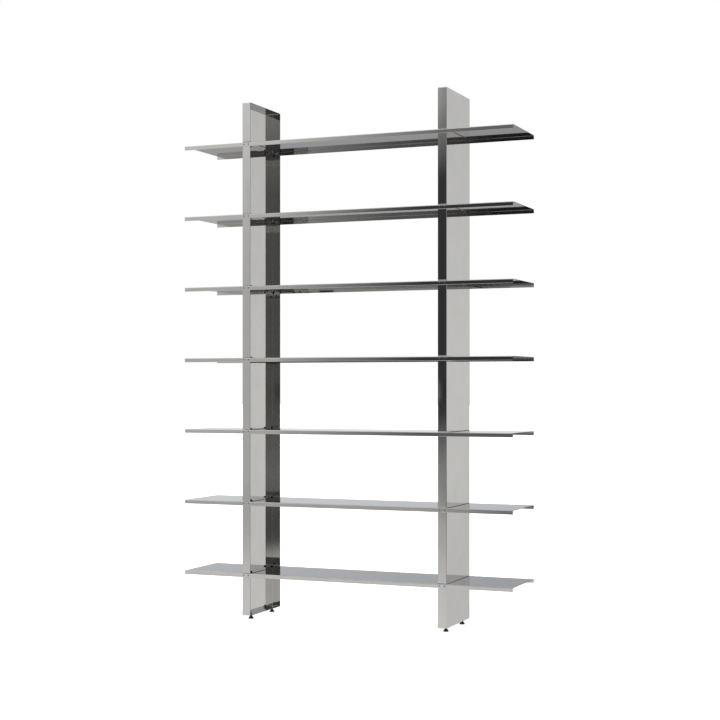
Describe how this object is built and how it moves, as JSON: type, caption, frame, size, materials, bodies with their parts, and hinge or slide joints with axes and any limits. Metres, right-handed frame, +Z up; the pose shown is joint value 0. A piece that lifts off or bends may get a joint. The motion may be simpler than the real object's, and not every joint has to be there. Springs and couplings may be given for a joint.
{
  "type": "bookshelf",
  "caption": "Tall open shelving unit of polished folded steel: long channel shelves bolted through two narrow uprights of stacked trays, on levelling feet.",
  "frame": {"origin": "middle of the unit on the floor", "axes": "+Z up, +X along the shelves to the viewer's right, front faces -Y"},
  "size_m": [1.45, 0.2952, 2.16],
  "materials": {
    "polished_stainless": "mirror-polished stainless sheet",
    "stainless_screw": "plain stainless",
    "blackened_steel": "blackened steel",
    "zinc_plated_steel": "zinc plated",
    "black_plastic": "moulded black"
  },
  "bodies": {
    "frame": {"left_back_screws": "stainless_screw", "left_base_tray": "polished_stainless", "left_bay_tray_1": "polished_stainless", "left_bay_tray_2": "polished_stainless", "left_bay_tray_3": "polished_stainless", "left_bay_tray_4": "polished_stainless", "left_bay_tray_5": "polished_stainless", "left_bay_tray_6": "polished_stainless", "left_front_screws": "stainless_screw", "left_lock_nuts": "blackened_steel", "left_stack_bolts": "blackened_steel", "left_stack_nuts": "zinc_plated_steel", "left_stack_washers": "zinc_plated_steel", "left_top_tray": "polished_stainless", "left_weld_nuts": "zinc_plated_steel", "right_back_screws": "stainless_screw", "right_base_tray": "polished_stainless", "right_bay_tray_1": "polished_stainless", "right_bay_tray_2": "polished_stainless", "right_bay_tray_3": "polished_stainless", "right_bay_tray_4": "polished_stainless", "right_bay_tray_5": "polished_stainless", "right_bay_tray_6": "polished_stainless", "right_front_screws": "stainless_screw", "right_lock_nuts": "blackened_steel", "right_stack_bolts": "blackened_steel", "right_stack_nuts": "zinc_plated_steel", "right_stack_washers": "zinc_plated_steel", "right_top_tray": "polished_stainless", "right_weld_nuts": "zinc_plated_steel", "shelf_1": "polished_stainless", "shelf_2": "polished_stainless", "shelf_3": "polished_stainless", "shelf_4": "polished_stainless", "shelf_5": "polished_stainless", "shelf_6": "polished_stainless", "shelf_7": "polished_stainless"},
    "left_front_foot_pad": {"left_front_foot_pad": "black_plastic"},
    "left_front_foot_stem": {"left_front_foot_stem": "zinc_plated_steel"},
    "left_back_foot_pad": {"left_back_foot_pad": "black_plastic"},
    "left_back_foot_stem": {"left_back_foot_stem": "zinc_plated_steel"},
    "right_front_foot_pad": {"right_front_foot_pad": "black_plastic"},
    "right_front_foot_stem": {"right_front_foot_stem": "zinc_plated_steel"},
    "right_back_foot_pad": {"right_back_foot_pad": "black_plastic"},
    "right_back_foot_stem": {"right_back_foot_stem": "zinc_plated_steel"}
  },
  "joints": [
    {"name": "left_front_foot_slide", "type": "slide", "parent": "frame", "child": "left_front_foot_pad", "axis": [0, 0, -1], "range_m": [0, 0.005]},
    {"name": "left_front_foot_turn", "type": "hinge", "parent": "left_front_foot_pad", "child": "left_front_foot_stem", "pos_m": [-0.4335, -0.0999, 0], "axis": [0, 0, -1], "range_deg": [0, 1440]},
    {"name": "left_back_foot_slide", "type": "slide", "parent": "frame", "child": "left_back_foot_pad", "axis": [0, 0, -1], "range_m": [0, 0.005]},
    {"name": "left_back_foot_turn", "type": "hinge", "parent": "left_back_foot_pad", "child": "left_back_foot_stem", "pos_m": [-0.4335, 0.0999, 0], "axis": [0, 0, -1], "range_deg": [0, 1440]},
    {"name": "right_front_foot_slide", "type": "slide", "parent": "frame", "child": "right_front_foot_pad", "axis": [0, 0, -1], "range_m": [0, 0.005]},
    {"name": "right_front_foot_turn", "type": "hinge", "parent": "right_front_foot_pad", "child": "right_front_foot_stem", "pos_m": [0.4335, -0.0999, 0], "axis": [0, 0, -1], "range_deg": [0, 1440]},
    {"name": "right_back_foot_slide", "type": "slide", "parent": "frame", "child": "right_back_foot_pad", "axis": [0, 0, -1], "range_m": [0, 0.005]},
    {"name": "right_back_foot_turn", "type": "hinge", "parent": "right_back_foot_pad", "child": "right_back_foot_stem", "pos_m": [0.4335, 0.0999, 0], "axis": [0, 0, -1], "range_deg": [0, 1440]}
  ],
  "couplings": [
    {"joint": "left_front_foot_turn", "follows": "left_front_foot_slide", "rad_per_m": 5026.5},
    {"joint": "left_back_foot_turn", "follows": "left_back_foot_slide", "rad_per_m": 5026.5},
    {"joint": "right_front_foot_turn", "follows": "right_front_foot_slide", "rad_per_m": 5026.5},
    {"joint": "right_back_foot_turn", "follows": "right_back_foot_slide", "rad_per_m": 5026.5}
  ]
}
